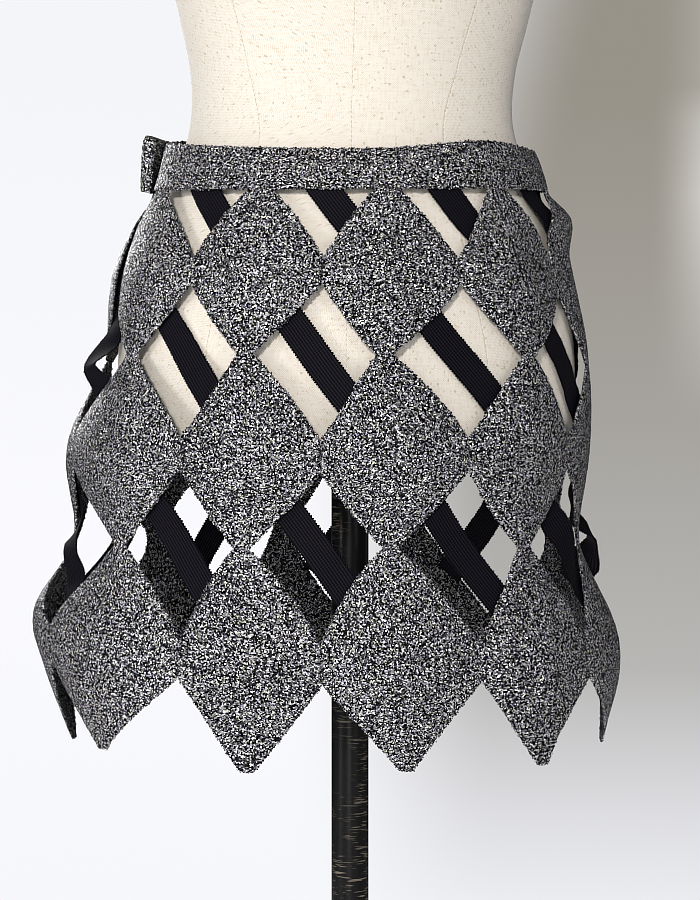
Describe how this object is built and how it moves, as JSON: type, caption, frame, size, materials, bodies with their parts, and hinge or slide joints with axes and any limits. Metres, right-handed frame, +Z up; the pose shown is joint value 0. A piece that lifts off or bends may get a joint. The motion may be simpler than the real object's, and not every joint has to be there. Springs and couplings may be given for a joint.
{
  "type": "lame mini skirt on a limbless dress form with a pole stand",
  "caption": "Mini skirt of joined lame diamonds in rows under a doubled waistband, with diagonal elastic tapes and a pointed hem, worn on a limbless dress form on a pole stand.",
  "frame": {"origin": "centre of the foot's underside, on the floor under the pole", "axes": "+Z up along the pole, the skirt's front faces -Y, +X is the wearer's left"},
  "size_m": [0.4086, 0.34, 1.466],
  "materials": {
    "lame_knit": "silver lame knit on black, fine grainy sparkle",
    "black_elastic_tape": "matt ribbed elastic",
    "cream_linen": "plain linen cover",
    "black_enamel": "gloss black with fine scratches"
  },
  "bodies": {
    "root": {"waistband": "lame_knit", "waistband_fold": "lame_knit", "diamond_Z1": "lame_knit", "diamond_Z2": "lame_knit", "diamond_Z3": "lame_knit", "diamond_A1": "lame_knit", "diamond_A2": "lame_knit", "diamond_A3": "lame_knit", "diamond_B1": "lame_knit", "diamond_B2": "lame_knit", "diamond_B3": "lame_knit", "diamond_C1": "lame_knit", "diamond_C2": "lame_knit", "diamond_C3": "lame_knit", "diamond_D1": "lame_knit", "diamond_D2": "lame_knit", "diamond_D3": "lame_knit", "diamond_E1": "lame_knit", "diamond_E2": "lame_knit", "diamond_E3": "lame_knit", "diamond_U1": "lame_knit", "diamond_U2": "lame_knit", "diamond_U3": "lame_knit", "diamond_V1": "lame_knit", "diamond_V2": "lame_knit", "diamond_V3": "lame_knit", "diamond_W1": "lame_knit", "diamond_W2": "lame_knit", "diamond_W3": "lame_knit", "diamond_X1": "lame_knit", "diamond_X2": "lame_knit", "diamond_X3": "lame_knit", "tape_Z": "black_elastic_tape", "tape_A": "black_elastic_tape", "tape_B": "black_elastic_tape", "tape_C": "black_elastic_tape", "tape_D": "black_elastic_tape", "tape_E": "black_elastic_tape", "tape_U": "black_elastic_tape", "tape_V": "black_elastic_tape", "tape_W": "black_elastic_tape", "tape_X": "black_elastic_tape", "dress_form": "cream_linen", "pole": "black_enamel", "foot": "black_enamel"}
  },
  "joints": []
}
